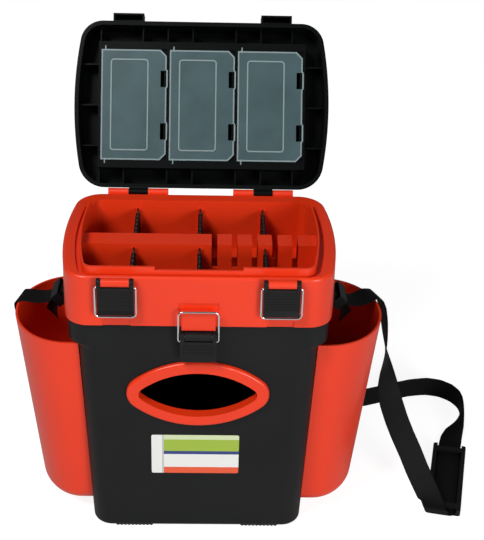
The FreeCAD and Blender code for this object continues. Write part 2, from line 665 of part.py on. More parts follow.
def divider(x, span):
    """Loose cross divider: a thin plate with a notched top edge and upright ribs on both faces."""
    y0, y1 = span
    low, top = TUB_FLOOR_Z + SEAT_GAP, RIM_Z - DIVIDER_DROP
    pitch = (y1 - y0) / (TOOTH_COUNT + 1)
    points = [(y0, low), (y0, top)]
    for i in range(TOOTH_COUNT):
        y = y0 + (i + 1) * pitch
        points += [(y - 1.6, top), (y, top - TOOTH_DEPTH), (y + 1.6, top)]
    points += [(y1, top), (y1, low)]
    plate = side_profile(points, x - DIVIDER_THICK / 2, x + DIVIDER_THICK / 2)
    count = int((y1 - y0 - 6) / DIVIDER_RIB_PITCH)
    first = (y0 + y1 - (count - 1) * DIVIDER_RIB_PITCH) / 2
    w = DIVIDER_RIB_WIDTH / 2
    ribs = []
    for i in range(count):
        y = first + i * DIVIDER_RIB_PITCH
        ribs.append(block(x - DIVIDER_HALF, x + DIVIDER_HALF, y - w, y + w, low + 1, top - TOOTH_DEPTH - 0.4))
    return fuse(plate, *ribs)


def opened(shape):
    """Swings a shape drawn on the closed lid to the lid's open position."""
    return shape.rotated(LID_AXIS, V(1, 0, 0), -LID_OPEN_ANGLE)


def lid_section(z, inset):
    """Level outline of the closed lid."""
    depth = TRAY_DEPTH / 2 - inset
    return outline(TRAY_WIDTH / 2 - inset, -depth, depth, z, TRAY_FRONT_CORNER - inset,
                   TRAY_REAR_CORNER - inset, SIDE_BOW_RADIUS - inset)


def lid_ribs():
    """Stiffening ribs between the lid's rim and its inner frame."""
    low, top = LID_BASE_Z + RIB_DROP, LID_INNER_Z
    edge = TRAY_DEPTH / 2
    ribs = []
    for x in FRONT_RIBS:
        ribs.append(block(x - RIB_THICK / 2, x + RIB_THICK / 2, -edge, -FRAME_HALF_DEPTH + 1, low, top))
    for x in REAR_RIBS:
        ribs.append(block(x - RIB_THICK / 2, x + RIB_THICK / 2, FRAME_HALF_DEPTH - 1, edge, low, top))
    for y in SIDE_RIBS:
        rib = block(FRAME_HALF_WIDTH - 1, TRAY_WIDTH / 2, y - RIB_THICK / 2, y + RIB_THICK / 2, low, top)
        ribs += both_sides(rib)
    return ribs


def cover_box(centre):
    """Edges of one cover: left, right and half length."""
    return centre - COVER_WIDTH / 2, centre + COVER_WIDTH / 2, COVER_LENGTH / 2


def well_cutters(centre):
    """Space for one cover in the lid's frame, and the well behind it."""
    left, right, half = cover_box(centre)
    play = COVER_PLAY
    ledge = COVER_MID_Z + COVER_THICK / 2 + SEAT_GAP
    cutters = [block(left - play, right + play, -half - play, half + play, FRAME_Z - 1, ledge)]
    cutters.append(block(left - play, right - COVER_LEDGE, -half + COVER_LEDGE, half - COVER_LEDGE,
                         FRAME_Z, LID_INNER_Z + 1))
    cutters.append(block(left - play, left + 2 * HINGE_INSET + 1, -half - play, half + play, FRAME_Z,
                         COVER_MID_Z + HINGE_INSET + COVER_THICK / 2))
    for y in (-NOTCH_OFFSET, NOTCH_OFFSET):
        cutters.append(block(right, right + SNAP_REACH + play, y - NOTCH_LENGTH / 2 - 1,
                             y + NOTCH_LENGTH / 2 + 1, FRAME_Z - 1, ledge))
    x = left + HINGE_INSET
    reach = half + COVER_PIN_REACH + SEAT_GAP
    for side in (-1, 1):
        cutters.append(rod(COVER_PIN_RADIUS + RUNNING * 2, V(x, side * (half - 4), COVER_MID_Z),
                           V(x, side * reach, COVER_MID_Z)))
        ends = sorted((side * half, side * reach))
        cutters.append(block(x - PIN_SNAP / 2, x + PIN_SNAP / 2, ends[0], ends[1], FRAME_Z - 1, COVER_MID_Z))
    return cutters


def lid_hollow():
    """Space inside the lid's rim."""
    return loft(lid_section(LID_BASE_Z - 1, LID_RIM), lid_section(LID_INNER_Z, LID_DRAFT + LID_WALL))


def lid():
    """Lid shell: rim, top panel, hinge knuckles and the two catches for the side bails."""
    outer = loft(lid_section(LID_BASE_Z, 0), lid_section(LID_TOP_Z, LID_DRAFT))
    outer = outer.makeFillet(LID_ROUND, edges_at(outer, LID_TOP_Z))
    recess = slab(pad_wire(LID_TOP_Z - PAD_RECESS, SEAT_GAP), PAD_RECESS + 1)
    body = outer.cut([lid_hollow(), recess])
    parts = []
    y, z, r = LID_AXIS.y, LID_AXIS.z, LID_KNUCKLE_RADIUS
    wall = TRAY_DEPTH / 2 - 1.2
    web = [(wall, LID_BASE_Z), (y, z), (y + r * 0.7, z + r * 0.7), (wall, LID_BASE_Z + 13)]
    half = KNUCKLE_LENGTH / 2
    for centre in (-HINGE_CENTRE_X, HINGE_CENTRE_X):
        parts.append(knuckle(LID_AXIS, r, web, centre - half, centre + half))
    front = -TRAY_DEPTH / 2
    low = LID_BASE_Z + 3
    tab = hook_profile(front + 3, front - TAB_REACH, low, LID_LATCH_PIVOT)
    seat = bail_top(LID_LATCH_PIVOT) - BAIL_WIRE / 2 - SEAT_GAP
    core_front = front - TAB_REACH + 2
    for x in (-LATCH_X, LATCH_X):
        catch = side_profile(tab, x - TAB_HALF, x + TAB_HALF)
        core = block(x - TAB_HALF + 2, x + TAB_HALF - 2, core_front, front - 1.5, low - 1, seat - 2)
        parts.append(catch.cut(core))
    body = fuse(body, *parts)
    bores = []
    for centre in (-HINGE_CENTRE_X, HINGE_CENTRE_X):
        bores.append(hinge_bore(LID_AXIS, centre - half - 1, centre + half + 1, RUNNING))
    return opened(body.cut(bores))


def lid_frame():
    """Inner frame of the lid, welded to the shell: three wells, cover recesses and stiffening ribs."""
    frame = block(-FRAME_HALF_WIDTH, FRAME_HALF_WIDTH, -FRAME_HALF_DEPTH, FRAME_HALF_DEPTH, FRAME_Z,
                  LID_INNER_Z)
    body = fuse(frame, *lid_ribs()).common(lid_hollow())
    cutters = []
    for i in (-1, 0, 1):
        cutters += well_cutters(i * COVER_PITCH)
    return opened(body.cut(cutters))


def pad_wire(z, grow=0.0):
    """Level outline of the seat pad."""
    return outline(PAD_WIDTH / 2 + grow, -PAD_DEPTH / 2 - grow, PAD_DEPTH / 2 + grow, z,
                   PAD_CORNER + grow, PAD_CORNER + grow)


def seat_pad():
    """Foam mat set in the lid's top, with a soft upper edge."""
    low = LID_TOP_Z - PAD_RECESS + RUNNING
    pad = slab(pad_wire(low), PAD_THICK)
    pad = pad.makeFillet(2.5, edges_at(pad, low + PAD_THICK))
    return opened(pad)


def rounded(shape, radius):
    """Rounds the upright edges of a block."""
    upright = [edge for edge in shape.Edges if edge.BoundBox.XLength + edge.BoundBox.YLength < 1e-6]
    return shape.makeFillet(radius, upright)


def cover(centre):
    """Clear well cover: plate with bead, two finger notches with snap lips, and hinge pins."""
    left, right, half = cover_box(centre)
    low, top = COVER_MID_Z - COVER_THICK / 2, COVER_MID_Z + COVER_THICK / 2
    c = COVER_CHAMFER
    corners = [(left, -half), (right - c, -half), (right, -half + c)]
    for y in (-NOTCH_OFFSET, NOTCH_OFFSET):
        n = NOTCH_LENGTH / 2
        corners += [(right, y - n), (right + SNAP_REACH, y - n + 2), (right + SNAP_REACH, y + n - 2),
                    (right, y + n)]
    corners += [(right, half - c), (right - c, half), (left, half)]
    points = [V(x, y, low) for x, y in corners]
    face = Part.Face(Part.makePolygon(points + points[:1]))
    plate = face.extrude(V(0, 0, COVER_THICK))
    edge = face.cut(face.makeOffset2D(-BEAD_WIDTH)).extrude(V(0, 0, -COVER_EDGE))
    inner_left, inner_right, inner_half = left + 10.4, left + 53.7, half - 10.6
    w = BEAD_WIDTH
    bead = rounded(block(inner_left, inner_right, -inner_half, inner_half, low - BEAD_HEIGHT, low),
                   BEAD_CORNER)
    bead = bead.cut(rounded(block(inner_left + w, inner_right - w, -inner_half + w, inner_half - w,
                                  low - BEAD_HEIGHT - 1, low), BEAD_CORNER - w))
    x = left + HINGE_INSET
    pins = [rod(COVER_PIN_RADIUS, V(x, side * (half - 2), COVER_MID_Z),
                V(x, side * (half + COVER_PIN_REACH), COVER_MID_Z)) for side in (-1, 1)]
    body = fuse(plate, edge, bead, *pins)
    cutters = []
    for y in (-NOTCH_OFFSET, NOTCH_OFFSET):
        n = NOTCH_LENGTH / 2 - 1.6
        cutters.append(block(right - NOTCH_WIDTH, right + SNAP_REACH - 1.6, y - n, y + n, low - 2, top + 2))
    return opened(body.cut(cutters))


def lever(x, pivot, drop, lean):
    """Latch lever: ribbed plate with two cheeks and two ears that straddle the lug."""
    def shape(points, x0, x1):
        bars = []
        profile = [(pivot.y + y, pivot.z + z) for y, z in points]
        for side in (-1, 1):
            ends = sorted((x + side * x0, x + side * x1))
            bars.append(side_profile(profile, ends[0], ends[1]))
        return bars

    half = LEVER_WIDTH / 2
    face = -2.2
    r = LEVER_EAR_RADIUS
    top = -r - 0.9
    back = LEVER_PLATE
    plate = [(face, top), (face + lean, -drop + 5), (face + lean - 1.6, -drop),
             (face + lean + back, -drop), (face + back, top)]
    cheek = [(face, top), (face + lean, -drop), (face + lean + back + 1.8, -drop),
             (face + back + 3.0, top - 2)]
    ear = [(-r, 0), (face - 0.6, top - 4), (r - 1.2, top - 4), (r, 0), (0, 1)]
    bars = shape(plate, 0, half) + shape(cheek, half - LEVER_CHEEK, half)
    bars += shape(ear, half - LEVER_EAR, half)
    for side in (-1, 1):
        ends = sorted((x + side * (half - LEVER_EAR), x + side * half))
        bars.append(rod(r, V(ends[0], pivot.y, pivot.z), V(ends[1], pivot.y, pivot.z)))
    count = int((drop - r - 10) / 3.2)
    for i in range(count):
        z = top - 4 - 3.2 * i
        y = face + lean * (top - z) / (drop + top - 5)
        rib = [(y + 0.5, z), (y - 0.45, z - 0.6), (y - 0.45, z - 1.2), (y + 0.5, z - 1.8)]
        bars += shape(rib, 0, half - 2.4)
    body = fuse(bars[0], *bars[1:])
    wide = half + 2
    body = body.cut(rod(LATCH_PIN_RADIUS + RUNNING, V(x - wide, pivot.y, pivot.z),
                        V(x + wide, pivot.y, pivot.z)))
    z = pivot.z - BAIL_OFFSET
    for side in (-1, 1):
        ends = sorted((x + side * (half - LEVER_EAR - 1), x + side * wide))
        body = body.cut(rod(BAIL_WIRE / 2 + RUNNING, V(ends[0], pivot.y, z), V(ends[1], pivot.y, z)))
    return body


def bail(x, pivot, way):
    """Wire bail: a U of round wire whose inturned ends sit in the lever; way is 1 up or -1 down."""
    z = pivot.z - BAIL_OFFSET
    y = pivot.y
    half = BAIL_WIDTH / 2
    inner = LEVER_WIDTH / 2 - LEVER_EAR + 0.6
    bend, corner = 2.0, BAIL_CORNER
    far = z + way * BAIL_REACH
    k = 1 - math.sqrt(0.5)

    def at(px, pz):
        return V(x + px, y, pz)

    edges = []
    for s in (-1, 1):
        edges.append(Part.LineSegment(at(s * inner, z), at(s * (half - bend), z)).toShape())
        edges.append(Part.Arc(at(s * (half - bend), z), at(s * (half - bend * k), z + way * bend * k),
                              at(s * half, z + way * bend)).toShape())
        edges.append(Part.LineSegment(at(s * half, z + way * bend), at(s * half, far - way * corner)).toShape())
        edges.append(Part.Arc(at(s * half, far - way * corner),
                              at(s * (half - corner * k), far - way * corner * k),
                              at(s * (half - corner), far)).toShape())
    edges.append(Part.LineSegment(at(corner - half, far), at(half - corner, far)).toShape())
    path = Part.Wire(Part.__sortEdges__(edges))
    circle = Part.Wire(Part.makeCircle(BAIL_WIRE / 2, at(-inner, z), V(1, 0, 0)))
    return path.makePipeShell([circle], True, False)


def latch_pin(x, pivot):
    """Plain steel pin through a latch's lug and ears."""
    half = LEVER_WIDTH / 2 - 0.2
    return rod(LATCH_PIN_RADIUS, V(x - half, pivot.y, pivot.z), V(x + half, pivot.y, pivot.z))


def hinge_rods(axis):
    """The two steel rods of a hinge line."""
    rods = []
    for centre in (-HINGE_CENTRE_X, HINGE_CENTRE_X):
        spans = hinge_spans(centre)
        rods.append(rod(HINGE_ROD_RADIUS, V(spans[0][0] + 0.6, axis.y, axis.z),
                        V(spans[1][1] - 0.6, axis.y, axis.z)))
    return Part.makeCompound(rods)


def anchor_bar():
    """Centre of the right strap anchor's bar."""
    return V(COLLAR_WIDTH / 2 + ANCHOR_BAR_OUT, ANCHOR_Y, (COLLAR_HIGH_Z + BOX_TOP_Z) / 2)


def strap_anchor():
    """Right strap anchor: riveted plate with two cheeks that carry a round bar."""
    bar = anchor_bar()
    wall = COLLAR_WIDTH / 2 + RUNNING
    half = STRAP_WIDTH / 2
    z0, z1 = bar.z - ANCHOR_HEIGHT / 2, bar.z + ANCHOR_HEIGHT / 2
    low_y, high_y = anchor_spots()
    edge = RIVET_HEAD + 1.4
    plate = block(wall, wall + 2.4, low_y - edge, high_y + edge, z0, z1)
    parts = []
    for side in (-1, 1):
        inner = half + 0.8
        ys = sorted((ANCHOR_Y + side * inner, ANCHOR_Y + side * (inner + ANCHOR_CHEEK)))
        cheek = [(wall + 1, z0), (wall + 5, z0), (bar.x + 3.4, bar.z - 3.4), (bar.x + 3.4, bar.z + 3.4),
                 (wall + 5, z1), (wall + 1, z1)]
        corners = [V(px, ys[0], pz) for px, pz in cheek]
        face = Part.Face(Part.makePolygon(corners + corners[:1]))
        parts.append(face.extrude(V(0, ys[1] - ys[0], 0)))
    parts.append(rod(ANCHOR_BAR_RADIUS, V(bar.x, ANCHOR_Y - half - 2, bar.z),
                     V(bar.x, ANCHOR_Y + half + 2, bar.z)))
    body = fuse(plate, *parts)
    holes = [rod(RIVET_RADIUS + RUNNING, V(wall - 5, y, bar.z), V(wall + 8, y, bar.z)) for y in anchor_spots()]
    return body.cut(holes)


def anchor_rivets():
    """Four rivets that hold the two strap anchors on the collar."""
    z = anchor_bar().z
    start = COLLAR_WIDTH / 2 - BOX_WALL - RUNNING
    rivets = []
    for y in anchor_spots():
        rivets += both_sides(rivet(start, start + BOX_WALL + 2.4 + 3 * RUNNING, y, z))
    return Part.makeCompound(rivets)


def webbing(stations):
    """Flat webbing through stations of (centre, way of its width); a third value keeps that way."""
    wires = []
    for i, (centre, hint, *kept) in enumerate(stations):
        before = stations[max(i - 1, 0)][0]
        after = stations[min(i + 1, len(stations) - 1)][0]
        along = after - before
        if kept:
            along = along - hint * hint.dot(along)
        along.normalize()
        wide = (hint - along * hint.dot(along)).normalize() * (STRAP_WIDTH / 2)
        thick = along.cross(wide).normalize() * (STRAP_THICK / 2)
        corners = [centre + wide + thick, centre - wide + thick, centre - wide - thick,
                   centre + wide - thick]
        wires.append(Part.makePolygon(corners + corners[:1]))
    return loft(*wires)


def anchor_loop(side):
    """Stations of the webbing's end: hanging tail, once round the bar and out through the slider."""
    bar = anchor_bar()
    wide = V(0, 1, 0)
    turn = ANCHOR_BAR_RADIUS + SEAT_GAP + STRAP_THICK / 2
    low = [(17.5, -36.0, 0.8), (16.0, -25.0, 0.35), (9.6, -14.4, 0), (3.0, -7.5, 0)]
    points = [(V(bar.x + dx, bar.y, bar.z + dz), V(side * twist, 1, 0)) for dx, dz, twist in low]
    for degrees in (225, 190, 155, 120, 85, 45):
        angle = math.radians(degrees)
        points.append((V(bar.x + turn * math.cos(angle), bar.y, bar.z + turn * math.sin(angle)), wide))
    points += [(V(bar.x + 9.4, bar.y, bar.z - 5.2), wide), (V(bar.x + 16.6, bar.y + 1, bar.z - 12.0), wide)]
    return [(V(side * p.x, p.y, p.z), way) for p, way in points]


def pad_point(x, y, z):
    """Point given in the strap pad's own frame."""
    angle = math.radians(STRAP_PAD_TURN)
    c, s = math.cos(angle), math.sin(angle)
    return STRAP_PAD_CENTRE + V(c * x - s * y, s * x + c * y, z)


def strap_right():
    """Right end of the strap: over the pocket's rim, down to the floor and into the pad."""
    stations = anchor_loop(1)
    rim_way = V(-0.40, 0.92, 0)
    over = [(174, 14, 246.2), (184, 22, 245.6), (192, 29.5, 246.0), (199.5, 33, 244.0)]
    stations += [(V(*p), rim_way) for p in over]
    stations += [(V(205, 33, 238), V(-0.34, 0.94, 0)), (V(208.5, 30, 228.5), V(-0.28, 0.96, 0)),
                 (V(211, 24, 214), V(-0.2, 0.98, 0)), (V(212.6, 17.5, 197), V(-0.1, 0.99, 0)),
                 (V(214, 12.5, 180), V(0.1, 0.99, 0)), (V(215.4, 7.5, 160), V(0.55, 0.8, 0.1)),
                 (V(218, 4.5, 139), V(0.85, 0.45, 0.25))]
    facing = V(0.9, 0.19, 0.38)
    down = [(224, 2, 116), (232, 0, 93), (241, -4, 72), (250.5, -10, 53), (259, -19, 34.5)]
    stations += [(V(*p), facing) for p in down]
    stations += [(V(266.5, -30, 22), V(0.93, 0.02, 0.2)), (V(271.5, -41, 15), V(0.96, -0.15, 0.08))]
    across = pad_point(1, 0, 0) - STRAP_PAD_CENTRE
    end = STRAP_PAD_LENGTH / 2
    over = STRAP_PAD_HEIGHT + STRAP_THICK
    deep = PAD_STRAP_Z
    fold = [(-13, -end + 6, over + 1.6), (-10.5, -end - 1, over), (-8.5, -end - 5, over - 0.8),
            (-7, -end - 7.3, (over + deep) / 2), (-5, -end - 6.3, deep + 1.2),
            (-2, -end - 3.4, deep + 0.1), (0, -end - 0.5, deep), (0, -end + 6, deep), (0, 0, deep)]
    stations += [(pad_point(*p), across, True) for p in fold]
    return webbing(stations)


def strap_rear():
    """Middle of the strap: out of the pad, then on its edge along the floor behind the box."""
    across = pad_point(1, 0, 0) - STRAP_PAD_CENTRE
    end = STRAP_PAD_LENGTH / 2
    up = V(0, 0, 1)
    stations = [(pad_point(0, y, PAD_STRAP_Z), across) for y in (0, end - 6, end + 3)]
    stations += [(V(319.5, 84, 5.2), V(0.95, -0.2, 0.25)), (V(325.5, 97, 9.6), V(0.8, -0.25, 0.55)),
                 (V(332, 110, 13.6), V(0.45, -0.2, 0.87)), (V(337.5, 123, 14.4), V(0.15, 0, 0.99))]
    edge = [(340.5, 138), (339, 152), (331.5, 166), (318, 176.5), (300, 181), (277, 177), (250, 167),
            (219, 154.5), (180, 146), (130, 139), (70, 133), (10, 130), (-50, 128), (-92, 126)]
    stations += [(V(x, y, STRAP_WIDTH / 2 + 0.3), up) for x, y in edge]
    return webbing(stations)


def strap_left():
    """Left end of the strap: off the floor, up behind the left pocket and over its rim."""
    up = V(0, 0, 1)
    low = STRAP_WIDTH / 2 + 0.3
    start, before = V(-92, 126, low), V(-50, 128, low)
    stations = [(start, up), (start + (start - before) * 0.3, up)]
    stations += [(V(-120, 121, 18), V(0.25, 0.1, 0.95)), (V(-134, 116, 28), V(0.5, 0.2, 0.84)),
                 (V(-148, 109, 46), V(0.6, 0.35, 0.7)), (V(-162, 99, 74), V(0.65, 0.45, 0.55)),
                 (V(-174, 87, 106), V(0.6, 0.6, 0.4)), (V(-183, 72, 140), V(0.55, 0.72, 0.3)),
                 (V(-189, 56, 172), V(0.5, 0.8, 0.1)), (V(-195.5, 38, 202), V(0.42, 0.9, 0.02)),
                 (V(-200, 29, 222), V(0.36, 0.93, 0))]
    rim_way = V(0.29, 0.957, 0)
    over = [(-202, 24.5, 236), (-201.3, 23, 241.6), (-198, 22, 243.8), (-192, 20.5, 244.6),
            (-184, 18, 245), (-174, 14, 246.2)]
    stations += [(V(*p), rim_way) for p in over]
    stations += list(reversed(anchor_loop(-1)))
    return webbing(stations)


def slider():
    """Right strap slider: a frame round both layers of webbing, with a bar between them."""
    bar = anchor_bar()
    half_y = STRAP_WIDTH / 2 + 3
    half_x = 7.4
    h = SLIDER_HEIGHT / 2
    frame = block(-half_x, half_x, -half_y, half_y, -h, h)
    gap = SEAT_GAP + 0.2
    layer = 2.0 * (ANCHOR_BAR_RADIUS + SEAT_GAP + STRAP_THICK / 2)
    slots = []
    for side in (-1, 1):
        middle = side * layer / 2
        slots.append(block(middle - STRAP_THICK / 2 - gap, middle + STRAP_THICK / 2 + gap + 0.8 * (side > 0),
                           -half_y + 2.4, half_y - 2.4, -h - 1, h + 1))
    frame = frame.cut(slots)
    frame = frame.rotated(V(0, 0, 0), V(0, 1, 0), -45)
    way = V(math.sqrt(0.5), 0, -math.sqrt(0.5))
    return frame.translated(bar + way * 11.0)


def strap_pad():
    """Slide-on strap pad: plate with side rails and a bridge near each end over the webbing."""
    half_w, half_l = STRAP_PAD_WIDTH / 2, STRAP_PAD_LENGTH / 2
    top = STRAP_PAD_HEIGHT
    body = block(-half_w, half_w, -half_l, half_l, 0, top)
    slot = STRAP_WIDTH / 2 + 0.8
    clear = STRAP_PAD_PLATE
    bridge = 8.0
    cut = [block(-slot, slot, -half_l - 1, half_l + 1, clear, clear + STRAP_THICK + 0.9)]
    cut.append(block(-slot, slot, -half_l + bridge + 5, half_l - bridge - 5, clear, top + 1))
    for side in (-1, 1):
        ys = sorted((side * (half_l + 1), side * (half_l - 5)))
        cut.append(block(-slot, slot, ys[0], ys[1], clear, top + 1))
    body = body.cut(cut)
    upright = [e for e in body.Edges if abs(e.BoundBox.ZMax - e.BoundBox.ZMin) > top - 0.1
               and abs(abs(e.CenterOfMass.y) - half_l) < 0.1 and abs(abs(e.CenterOfMass.x) - half_w) < 0.1]
    body = body.makeFillet(3.0, upright)
    return body.rotated(V(0, 0, 0), V(0, 0, 1), STRAP_PAD_TURN).translated(STRAP_PAD_CENTRE)


def build():
    """Every piece by its name."""
    shapes = {"lower_box": lower_box(), "feet": feet(), "window_ring": window_ring(), "pocket_rivets": pocket_rivets()}
    shapes["pocket_right"], shapes["pocket_left"] = both_sides(pocket())
    shapes["tray"] = tray()
    for name, x, span in divider_places():
        shapes[name] = divider(x, span)
    shapes["lid"] = lid()
    shapes["lid_frame"] = lid_frame()
    shapes["seat_pad"] = seat_pad()
    for i, name in enumerate(("cover_left", "cover_middle", "cover_right")):
        shapes[name] = cover((i - 1) * COVER_PITCH)
    for name, x in (("left", -LATCH_X), ("right", LATCH_X)):
        shapes["lever_" + name] = lever(x, LID_LATCH_PIVOT, LID_LEVER_DROP, 1.4)
        shapes["bail_" + name] = bail(x, LID_LATCH_PIVOT, -1)
    shapes["lever_centre"] = lever(0, BOX_LATCH_PIVOT, BOX_LEVER_DROP, 3.6)
    shapes["bail_centre"] = bail(0, BOX_LATCH_PIVOT, 1)
    shapes["lid_latch_pins"] = Part.makeCompound([latch_pin(x, LID_LATCH_PIVOT) for x in (-LATCH_X, LATCH_X)])
    shapes["centre_latch_pin"] = latch_pin(0, BOX_LATCH_PIVOT)
    shapes["lid_hinge_rods"] = hinge_rods(LID_AXIS)
    shapes["tray_hinge_rods"] = hinge_rods(TRAY_AXIS)
    shapes["strap_anchor_right"], shapes["strap_anchor_left"] = both_sides(strap_anchor())
    shapes["anchor_rivets"] = anchor_rivets()
    shapes["strap_slider_right"], shapes["strap_slider_left"] = both_sides(slider())
    shapes["strap_right"] = strap_right()
    shapes["strap_rear"] = strap_rear()
    shapes["strap_left"] = strap_left()
    shapes["strap_pad"] = strap_pad()
    return shapes


def main():
    os.makedirs("parts", exist_ok=True)
    for name, shape in build().items():
        shape.exportStep("parts/%s.step" % name)
        print(name, len(shape.Solids), shape.isValid(), round(shape.Volume))


main()
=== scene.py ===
import json
import math

import bmesh
import bpy
from mathutils import Matrix, Vector


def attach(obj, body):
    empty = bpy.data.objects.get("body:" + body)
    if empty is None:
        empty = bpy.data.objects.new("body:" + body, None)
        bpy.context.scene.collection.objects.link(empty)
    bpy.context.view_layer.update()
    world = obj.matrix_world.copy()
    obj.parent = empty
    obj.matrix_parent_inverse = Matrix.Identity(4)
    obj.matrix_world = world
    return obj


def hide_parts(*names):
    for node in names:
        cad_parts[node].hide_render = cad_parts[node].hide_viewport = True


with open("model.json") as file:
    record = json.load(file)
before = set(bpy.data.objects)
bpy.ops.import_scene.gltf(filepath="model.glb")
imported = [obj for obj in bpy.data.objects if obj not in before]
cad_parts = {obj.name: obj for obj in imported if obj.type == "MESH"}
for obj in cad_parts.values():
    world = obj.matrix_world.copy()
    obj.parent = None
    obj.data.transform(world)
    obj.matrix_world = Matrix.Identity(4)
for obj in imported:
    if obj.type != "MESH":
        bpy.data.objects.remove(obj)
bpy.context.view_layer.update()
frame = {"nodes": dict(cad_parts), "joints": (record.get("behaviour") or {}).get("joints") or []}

nodes = frame["nodes"]
scene = bpy.context.scene
scene.view_settings.view_transform = "Standard"


# Helpers for shader nodes and meshes.

PLASTIC_IOR = 1.49
NOISE_LOW, NOISE_HIGH = 0.3, 0.7


def shader_node(tree, kind, **inputs):
    """New shader node, with the inputs that are named by keywords set."""
    item = tree.nodes.new("ShaderNode" + kind)
    for name, value in inputs.items():
        item.inputs[name.replace("_", " ").title()].default_value = value
    return item


def link(tree, *joins):
    """Joins shader nodes, each join given as source, output, target and input."""
    for source, output, target, socket in joins:
        tree.links.new(source.outputs[output], target.inputs[socket])


def shade(colour, factor=1.0):
    """Colour with its brightness changed, opaque."""
    return tuple(min(c * factor, 1) for c in colour) + (1,)


def colour_ramp(tree, low, high, start=0.0, end=1.0):
    """Ramp from one colour to another."""
    ramp = shader_node(tree, "ValToRGB")
    first, last = ramp.color_ramp.elements
    first.position, first.color = start, low
    last.position, last.color = end, high
    return ramp


def principled(name):
    """New material, with its node tree and its shader."""
    material = bpy.data.materials.new(name)
    material.use_nodes = True
    return material, material.node_tree, material.node_tree.nodes["Principled BSDF"]


def maths(tree, kind, operation):
    """New node for a sum on numbers or vectors."""
    item = shader_node(tree, kind)
    item.operation = operation
    return item


def new_object(name, source):
    """Object made from an edit mesh, which is freed."""
    mesh = bpy.data.meshes.new(name)
    source.to_mesh(mesh)
    source.free()
    thing = bpy.data.objects.new(name, mesh)
    scene.collection.objects.link(thing)
    return thing


def square(size):
    """Edit mesh of one flat square, given by half its side."""
    sheet = bmesh.new()
    bmesh.ops.create_grid(sheet, x_segments=1, y_segments=1, size=size)
    return sheet


def rounded_plate(width, depth, corner, segments, thickness):
    """Edit mesh of a flat plate with rounded corners, and the vertices of its upper side."""
    plate = square(0.5)
    bmesh.ops.scale(plate, vec=(width, depth, 1), verts=plate.verts)
    bmesh.ops.bevel(plate, geom=list(plate.verts), offset=corner, segments=segments,
                    profile=0.5, affect="VERTICES", material=-1)
    lifted = bmesh.ops.extrude_face_region(plate, geom=list(plate.faces))
    raised = [item for item in lifted["geom"] if isinstance(item, bmesh.types.BMVert)]
    bmesh.ops.translate(plate, vec=(0, 0, thickness), verts=raised)
    return plate, raised


def wear(material, *names):
    """Gives the solids of these names a finish."""
    for name in names:
        for place in nodes[name].material_slots:
            place.material = material


# Camera. The picture is taken from the front, from above and almost level. The eye is
# 1.4 m from the box, so the open lid looks smaller than the tray in front of it.

CAMERA_TARGET = Vector((0.04625, 0.0, 0.2916))
CAMERA_DISTANCE = 1.4055
CAMERA_YAW = math.radians(-1.87)
CAMERA_PITCH = math.radians(29.73)
CAMERA_ROLL = math.radians(1.62)
PICTURE_WIDTHS_AWAY = 1288.28 / 484
SENSOR_WIDTH = 36.0

back = Vector((math.sin(CAMERA_YAW) * math.cos(CAMERA_PITCH),
               -math.cos(CAMERA_YAW) * math.cos(CAMERA_PITCH), math.sin(CAMERA_PITCH)))
level = Vector((math.cos(CAMERA_YAW), math.sin(CAMERA_YAW), 0))
upright = back.cross(level)
right = level * math.cos(CAMERA_ROLL) + upright * math.sin(CAMERA_ROLL)
up = upright * math.cos(CAMERA_ROLL) - level * math.sin(CAMERA_ROLL)
eye = CAMERA_TARGET + back * CAMERA_DISTANCE

camera_data = bpy.data.cameras.new("camera")
camera_data.sensor_fit = "HORIZONTAL"
camera_data.sensor_width = SENSOR_WIDTH
camera_data.lens = SENSOR_WIDTH * PICTURE_WIDTHS_AWAY
camera = bpy.data.objects.new("camera", camera_data)
scene.collection.objects.link(camera)
camera.matrix_world = Matrix(((right.x, up.x, back.x, eye.x), (right.y, up.y, back.y, eye.y),
                              (right.z, up.z, back.z, eye.z), (0, 0, 0, 1)))
scene.camera = camera


# Studio. A white table with a soft lamp low in front at the right and one high at the
# left, so that the compartments stay darker than the front. The table and the wall
# behind it show white to the eye, and throw less light than that on the box.

FLOOR_HALF = 6.0
FLOOR_FELT = 0.7
FLOOR_SEEN = 0.42
FLOOR_GLOW = 0.88
SKY_COLOUR = (0.95, 0.98, 1.0, 1)
SKY_STRENGTH = 0.13


def grey(value):
    """Opaque grey."""
    return (value, value, value, 1)


def split_rays(tree, felt, seen, output):
    """Shows one shader to the camera and lets another light the box."""
    path = shader_node(tree, "LightPath")
    pick = shader_node(tree, "MixShader")
    out = shader_node(tree, output)
    link(tree, (path, "Is Camera Ray", pick, 0), (felt, 0, pick, 1), (seen, 0, pick, 2),
         (pick, 0, out, 0))


def white_table():
    """Matt white that stays white in the lamps' shade."""
    table = bpy.data.materials.new("white_table")
    table.use_nodes = True
    tree = table.node_tree
    tree.nodes.clear()
    felt = shader_node(tree, "BsdfDiffuse", color=grey(FLOOR_FELT))
    faint = shader_node(tree, "BsdfDiffuse", color=grey(FLOOR_SEEN))
    glow = shader_node(tree, "Emission", strength=FLOOR_GLOW)
    seen = shader_node(tree, "AddShader")
    link(tree, (faint, 0, seen, 0), (glow, 0, seen, 1))
    split_rays(tree, felt, seen, "OutputMaterial")
    return table


def softbox(name, place, size, watts):
    """Square area lamp that looks at the middle of the box."""
    lamp = bpy.data.lights.new(name, "AREA")
    lamp.size = size
    lamp.energy = watts
    thing = bpy.data.objects.new(name, lamp)
    scene.collection.objects.link(thing)
    thing.location = place
    towards = CAMERA_TARGET - Vector(place)
    thing.rotation_euler = towards.to_track_quat("-Z", "Y").to_euler()


floor = new_object("floor", square(FLOOR_HALF))
floor.data.materials.append(white_table())

